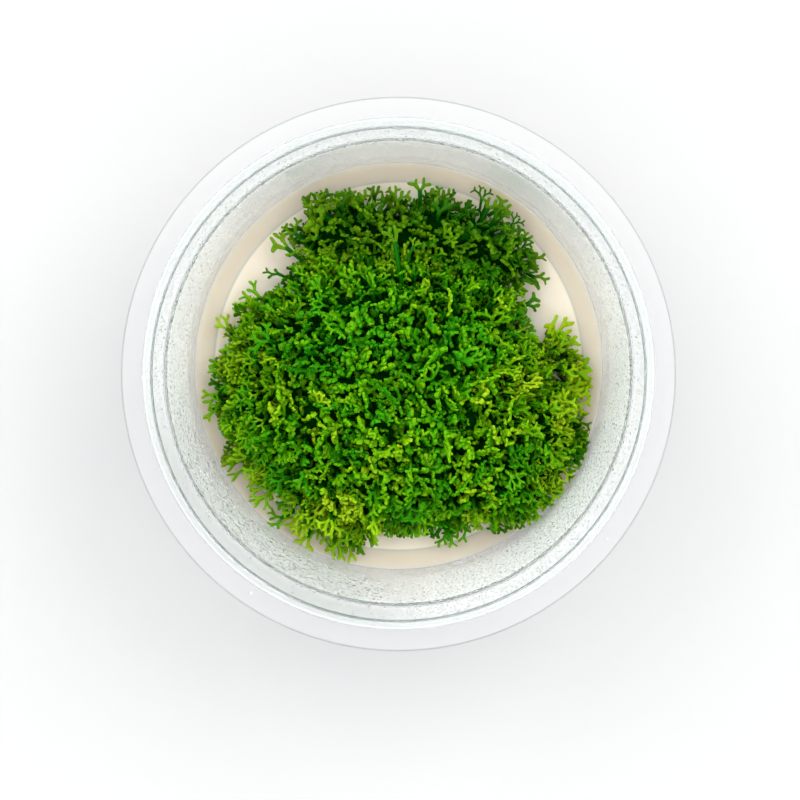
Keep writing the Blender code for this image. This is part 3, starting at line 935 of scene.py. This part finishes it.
def mist_at(degrees, height):
    """How thick the mist lies on the wall: thin above the gel, at the back and in a strip at the front."""
    turn = math.radians(degrees)
    waver = noise.noise(Vector((5 * math.cos(turn), 5 * math.sin(turn), height / MIST_WAVE)))
    place = (degrees + 5 * waver) % 360
    inside = max(min(place - start, end - place) for start, end in WIPED)
    wiped = clamp(0.5 + inside / WIPED_EDGE)
    wiped *= 1.0 - clamp((height - chosen("cup").ledge_z + WIPED_DROP) / (1.5 * MM))
    rise = clamp((height - MIST_FOOT - waver * 3 * MM) / (2.5 * MM))
    return THIN_MIST + (1.0 - THIN_MIST) * rise * (1.0 - 0.55 * wiped)


class CRYSTALWORT_OT_cup(bpy.types.Operator):
    """Spin the clear cup from its outline and give the sheet its thickness"""

    bl_idname = "crystalwort.cup"
    bl_label = "Clear Cup"

    def execute(self, context):
        cup = chosen("cup")
        top = cup.height
        flange = [(cup.brim_radius - inset * MM, top) for inset in (0.0, 0.15, 0.3, 1.0)]
        # The lip from the brim to the wall, out from a radius and up from a height, in millimetres
        lip = [(radius + out * MM, height + up * MM) for radius, out, height, up in (
            (cup.mouth_radius, 1.2, top, 0.0),
            (cup.mouth_radius, 0.12, top, 0.0),
            (cup.mouth_radius, -0.08, top, -0.35),
            (cup.mouth_radius, 0.0, top, -1.1),
            (cup.bead_radius, -0.2, top, -2.5),
            (cup.bead_radius, 0.1, top, -3.8),
            (cup.bead_radius, -0.4, top, -5.2),
            (cup.ledge_outer, 0.6, cup.ledge_z, 1.6),
            (cup.ledge_outer, 0.1, cup.ledge_z, 0.5),
            (cup.ledge_inner, 0.1, cup.ledge_z, 0.1),
            (cup.ledge_inner, -0.1, cup.ledge_z, -1.0),
        )]
        wall = [(wall_radius(z * MM), z * MM) for z in range(38, 10, -4)]
        outline = flange + rounded(lip, 2) + wall + foot_outline(0.0)
        piece = spin_outline("culture_cup", outline, 192)
        shell = piece.modifiers.new("Sheet", "SOLIDIFY")
        shell.thickness = cup.wall
        shell.offset = -1.0
        shell.use_even_offset = True
        bpy.ops.object.modifier_apply(modifier=shell.name)
        edge = piece.modifiers.new("Cut edge", "BEVEL")
        edge.width = 0.12 * MM
        edge.segments = 2
        edge.limit_method = "ANGLE"
        edge.angle_limit = math.radians(60)
        bpy.ops.object.modifier_apply(modifier=edge.name)
        bpy.ops.object.shade_smooth()
        mist, cut = [], []
        for vertex in piece.data.vertices:
            x, y, z = vertex.co
            turn = math.degrees(math.atan2(y, x))
            inside = x * vertex.normal.x + y * vertex.normal.y < 0
            if z > cup.ledge_z + 0.6 * MM:
                thick = BEAD_MIST * clamp((top - 3.0 * MM - z) / (2.0 * MM)) * (1.0 - 0.6 * wetness(turn))
            elif GEL_TOP.z < z < cup.ledge_z:
                thick = mist_at(turn, z) * (1.0 - 0.4 * wetness(turn))
            else:
                thick = 0.0
            off_ledge = clamp(abs(z - cup.ledge_z - 0.1 * MM) / (0.4 * MM) - 0.5)
            mist.append(thick * off_ledge if inside else 0.0)
            cut.append(clamp((math.hypot(x, y) - cup.brim_radius + 0.3 * MM) / (0.12 * MM)))
        mark_points(piece.data, mist=mist, cut=cut)
        piece.data.materials.append(plastic_material())
        hand_over(piece, "clear_plastic", "cup")
        return {"FINISHED"}


class CRYSTALWORT_OT_gel(bpy.types.Operator):
    """Spin the disc of set gel, with its edge drawn up the wall"""

    bl_idname = "crystalwort.gel"
    bl_label = "Nutrient Gel"

    def execute(self, context):
        gel = chosen("gel")
        level = GEL_TOP.z - 0.02 * MM
        rim = wall_radius(level) - gel.gap
        climb = [
            (rim - gel.meniscus_width * (1 - share), level + gel.meniscus_height * share ** 3)
            for share in (0.0, 0.25, 0.5, 0.75, 0.9, 1.0)
        ]
        outline = [(0.0, level), (0.5 * rim, level)] + climb + foot_outline(gel.gap)
        piece = spin_outline("nutrient_gel", outline, 160)
        finish_mesh(piece, gel_material())
        hand_over(piece, "nutrient_gel", "gel")
        return {"FINISHED"}


class CRYSTALWORT_OT_main_cushion(bpy.types.Operator):
    """Plant the large bright cushion over its dark core"""

    bl_idname = "crystalwort.main_cushion"
    bl_label = "Main Cushion"

    def execute(self, context):
        plant = chosen("plant")
        draw = random.Random(plant.seed)
        material = thallus_material("Living thallus, fresh green", plant.pale, plant.young, plant.fresh,
                                    plant.deep)
        forks = (2, 2, 1, 2, 2, 2, 1, 2, 2, 2, 2, 1, 2, 2)
        fronds = model_fronds(draw, [(levels, 1.0) for levels in forks], sway=0.9, plump=1.2)
        sprays = model_fronds(draw, [(3, 1.2)] * 5, taper=0.9, plump=0.85, slim=0.65)
        stalks = model_fronds(draw, [(2, 1.8), (2, 2.4), (2, 2.8), (2, 2.1)])
        ribbons = model_fronds(draw, [(3, 1.8), (3, 1.4), (2, 2.6), (2, 1.8), (2, 1.5), (3, 1.2)],
                               taper=0.85, plump=0.8, slim=0.85)
        hand_over(core("main_cushion", material), "frond_green", "main_cushion")
        # The lower fronds are painted darker by their depth, as shade
        lower = Planting()
        crown(lower, "main_cushion", fronds, ribbons, draw, spacing=plant.floor_spacing,
              size=0.9, sink=1.6 * MM, depth=0.5, outward=0.3, loose=0.8)
        fringe(lower, "main_cushion", ribbons, draw, start=140, end=400, spacing=1.6 * MM, size=0.75)
        fringe(lower, "main_cushion", sprays, draw, start=145, end=350, spacing=4.2 * MM, size=0.6)
        single_fronds(lower, ribbons, MAIN_SINGLES, draw)
        hand_over(lower.grow("main_cushion_lower_fronds", material), "frond_green", "main_cushion")
        upper = Planting()
        crown(upper, "main_cushion", fronds, ribbons, draw, spacing=plant.crown_spacing,
              size=0.85, sink=0.3 * MM, depth=0.0, outward=0.22, loose=0.65)
        crown(upper, "main_cushion", stalks, ribbons, draw, spacing=4.6 * MM,
              size=0.85, sink=0.9 * MM, depth=0.0, outward=0.35, loose=0.8)
        hand_over(upper.grow("main_cushion_upper_fronds", material), "frond_green", "main_cushion")
        return {"FINISHED"}


class CRYSTALWORT_OT_back_cushion(bpy.types.Operator):
    """Plant the low cushion behind the main one, its greens painted darker as shade"""

    bl_idname = "crystalwort.back_cushion"
    bl_label = "Back Cushion"

    def execute(self, context):
        plant = chosen("plant")
        draw = random.Random(plant.seed + 1)
        material = thallus_material("Living thallus, shaded green", plant.shaded_pale, plant.shaded,
                                    plant.shaded_middle, plant.deep)
        fronds = model_fronds(draw, [(levels, 1.2) for levels in (2, 2, 3, 2, 2, 3)], sway=0.7)
        ribbons = model_fronds(draw, [(3, 1.8), (2, 2.2), (2, 1.6), (3, 1.3)],
                               taper=0.85, plump=0.8, slim=0.95)
        stalks = model_fronds(draw, [(2, 4.0)] * 3, taper=0.85, plump=0.9, slim=0.85)
        hand_over(core("back_cushion", material), "frond_deep_green", "back_cushion")
        upper = Planting()
        crown(upper, "back_cushion", fronds, ribbons, draw, spacing=1.25 * MM,
              size=0.8, sink=0.5 * MM, depth=0.1, outward=0.12, loose=0.8)
        fringe(upper, "back_cushion", ribbons, draw, start=-25, end=205, spacing=1.8 * MM, size=0.6)
        single_fronds(upper, ribbons, BACK_SINGLES, draw, darkest=0.6, palest=1.8)
        single_fronds(upper, stalks, BACK_STALKS, draw, darkest=0.4, palest=1.2)
        hand_over(upper.grow("back_cushion_fronds", material), "frond_deep_green", "back_cushion")
        return {"FINISHED"}


class CRYSTALWORT_OT_right_tuft(bpy.types.Operator):
    """Plant the small yellow-green tuft at the right"""

    bl_idname = "crystalwort.right_tuft"
    bl_label = "Right Tuft"

    def execute(self, context):
        plant = chosen("plant")
        draw = random.Random(plant.seed + 2)
        material = thallus_material("Living thallus, yellow green", plant.yellow_pale, plant.yellow,
                                    plant.yellow_middle, plant.shaded_middle)
        ribbons = model_fronds(draw, [(2, 2.2), (3, 1.6), (2, 1.8), (3, 1.2), (2, 1.5)],
                               taper=0.9, plump=0.85)
        broad = model_fronds(draw, [(3, 1.3), (3, 0.9), (2, 1.6), (4, 0.9), (3, 1.1)],
                             taper=0.9, sway=0.5, plump=0.8, slim=1.05)
        upper = Planting()
        # The sunk fronds are painted darker by their depth, as shade
        crown(upper, "right_tuft", ribbons, ribbons, draw, spacing=1.3 * MM,
              size=0.65, sink=2.0 * MM, depth=0.5, outward=0.5, loose=0.6)
        crown(upper, "right_tuft", ribbons, broad, draw, spacing=1.6 * MM,
              size=0.65, sink=0.6 * MM, depth=0.1, outward=0.3, loose=0.6)
        single_fronds(upper, broad, TUFT_SINGLES, draw, darkest=0.5, palest=1.6)
        hand_over(upper.grow("right_tuft_fronds", material), "frond_yellow_green", "right_tuft")
        return {"FINISHED"}


class CRYSTALWORT_OT_condensation(bpy.types.Operator):
    """Set drops of water on the wall, along the ledge and under the brim"""

    bl_idname = "crystalwort.condensation"
    bl_label = "Condensation"

    def execute(self, context):
        cup, water = chosen("cup"), chosen("water")
        draw = random.Random(water.seed)
        drop = model_drop()
        wall_slope = math.atan((cup.ledge_inner - cup.wall_foot_radius) / (cup.ledge_z - cup.wall_foot_z))
        copies = Copies()
        taken = {}
        for _ in range(WALL_TRIES):
            degrees = draw.uniform(0, 360)
            height = draw.uniform(LOWEST_DROP, cup.ledge_z - 0.6 * MM)
            density = 3 * mist_at(degrees, height) - 2
            if density < draw.random():
                continue
            wet = wetness(degrees)
            spacing = water.spacing * (1.0 - 0.25 * wet)
            along = math.radians(degrees) * cup.ledge_inner
            cell = (int(along // water.spacing), int(height // water.spacing))
            near = [spot for i in (-1, 0, 1) for j in (-1, 0, 1)
                    for spot in taken.get((cell[0] + i, cell[1] + j), ())]
            if any(math.hypot(along - x, height - z) < spacing for x, z in near):
                continue
            taken.setdefault(cell, []).append((along, height))
            size = water.drop_radius * draw.uniform(0.55, 1.4) * (1.0 + 0.6 * wet)
            place_drop(copies, drop, degrees, wall_radius(height), height, wall_slope, size, draw)
        for row_radius, row_height, step in ((cup.ledge_inner, cup.ledge_z - 0.3 * MM, 1.15),
                                             (cup.ledge_outer, cup.ledge_z + 0.5 * MM, 1.3)):
            degrees = 0.0
            while degrees < 360:
                size = water.drop_radius * draw.uniform(0.7, 1.6)
                place_drop(copies, drop, degrees, row_radius, row_height, LEDGE_SLOPE, size, draw)
                degrees += step * draw.uniform(0.6, 1.4)
        band_width, band_height = cup.bead_radius - 0.5 * MM - cup.ledge_outer, 4.0 * MM
        band_slope = math.atan(band_width / band_height)
        for _ in range(BEAD_DROPS):
            share = draw.random()
            radius = cup.ledge_outer + share * band_width
            height = cup.ledge_z + 0.5 * MM + share * band_height
            size = water.drop_radius * draw.uniform(0.35, 1.1)
            place_drop(copies, drop, draw.uniform(0, 360), radius, height, band_slope, size, draw)
        for degrees, radius in FLANGE_DROPS:
            place_drop(copies, drop, degrees, radius * MM, cup.height - cup.wall, -math.pi / 2,
                       1.3 * water.drop_radius, draw)
        piece = copies.build("condensation", water_material(), np.concatenate(copies.points))
        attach(piece, BODY)
        return {"FINISHED"}


class CRYSTALWORT_OT_stage(bpy.types.Operator):
    """Set the floor, the soft light and the camera that looks down into the cup"""

    bl_idname = "crystalwort.stage"
    bl_label = "Stage"

    def execute(self, context):
        stage = chosen("stage")
        scene = context.scene
        deselect()
        bpy.ops.mesh.primitive_plane_add(size=4.0, location=(0, 0, 0))
        floor = context.object
        floor.name = "floor"
        floor.data.materials.append(floor_material())

        world = bpy.data.worlds.new("Soft studio")
        scene.world = world
        world.use_nodes = True
        tree = world.node_tree
        direction = add(tree, "ShaderNodeTexCoord").outputs["Generated"]
        up = add(tree, "ShaderNodeSeparateXYZ", Vector=direction).outputs["Z"]
        strength = add(tree, "ShaderNodeMapRange", Value=up, From_Max=0.7, To_Min=1.1, To_Max=2.0)
        fill(tree, tree.nodes["Background"], stage.sky, strength)

        for name, place, power in (
            ("Key light", (0.95, 0.8, 1.5), stage.key_power),
            ("Fill light", (-0.95, 0.85, 1.5), stage.fill_power),
        ):
            lamp = bpy.data.lights.new(name, "AREA")
            lamp.shape = "SQUARE"
            lamp.size = stage.lamp_size
            lamp.energy = power
            lamp.color = stage.lamp[:3]
            light = bpy.data.objects.new(name, lamp)
            light.location = place
            light.rotation_euler = (-Vector(place)).to_track_quat("-Z", "Y").to_euler()
            scene.collection.objects.link(light)

        target = Vector((0, 0, CUP_TOP.z))
        lens = bpy.data.cameras.new("Camera")
        lens.lens = stage.focal_length
        lens.sensor_width = 36.0
        lens.shift_x = stage.shift_x
        lens.shift_y = stage.shift_y
        lens.clip_start = 0.01
        camera = bpy.data.objects.new("Camera", lens)
        camera.location = target + stage.distance * Vector((0, math.sin(stage.tilt), math.cos(stage.tilt)))
        camera.rotation_euler = (-stage.tilt, 0, 0)
        scene.collection.objects.link(camera)
        scene.camera = camera
        scene.view_settings.view_transform = "Standard"
        scene.cycles.max_bounces = stage.bounces
        scene.cycles.transmission_bounces = stage.bounces
        scene.cycles.glossy_bounces = stage.bounces
        return {"FINISHED"}


class CRYSTALWORT_PT_sidebar(bpy.types.Panel):
    """Sizes and colours of the model, with a button for each of its pieces"""

    bl_label = "Crystalwort"
    bl_idname = "CRYSTALWORT_PT_sidebar"
    bl_space_type = "VIEW_3D"
    bl_region_type = "UI"
    bl_category = "Crystalwort"

    def draw(self, context):
        for name in SETTINGS:
            box = self.layout.box()
            box.label(text=name.title())
            settings = chosen(name)
            for prop in settings.__annotations__:
                box.prop(settings, prop)
        for operator in STEPS:
            self.layout.operator(operator.bl_idname)


SETTINGS = {
    "cup": CupSettings,
    "gel": GelSettings,
    "plant": PlantSettings,
    "water": WaterSettings,
    "stage": StageSettings,
}
STEPS = (
    CRYSTALWORT_OT_cup,
    CRYSTALWORT_OT_gel,
    CRYSTALWORT_OT_main_cushion,
    CRYSTALWORT_OT_back_cushion,
    CRYSTALWORT_OT_right_tuft,
    CRYSTALWORT_OT_condensation,
    CRYSTALWORT_OT_stage,
)
CLASSES = (*SETTINGS.values(), *STEPS, CRYSTALWORT_PT_sidebar)


def register():
    for cls in CLASSES:
        bpy.utils.register_class(cls)
    for name, settings in SETTINGS.items():
        setattr(bpy.types.Scene, "crystalwort_" + name, PointerProperty(type=settings))


def unregister():
    for name in SETTINGS:
        delattr(bpy.types.Scene, "crystalwort_" + name)
    for cls in reversed(CLASSES):
        bpy.utils.unregister_class(cls)


def main():
    register()
    bpy.ops.crystalwort.cup()
    bpy.ops.crystalwort.gel()
    bpy.ops.crystalwort.main_cushion()
    bpy.ops.crystalwort.back_cushion()
    bpy.ops.crystalwort.right_tuft()
    bpy.ops.crystalwort.condensation()
    bpy.ops.crystalwort.stage()


if __name__ == "__main__":
    main()
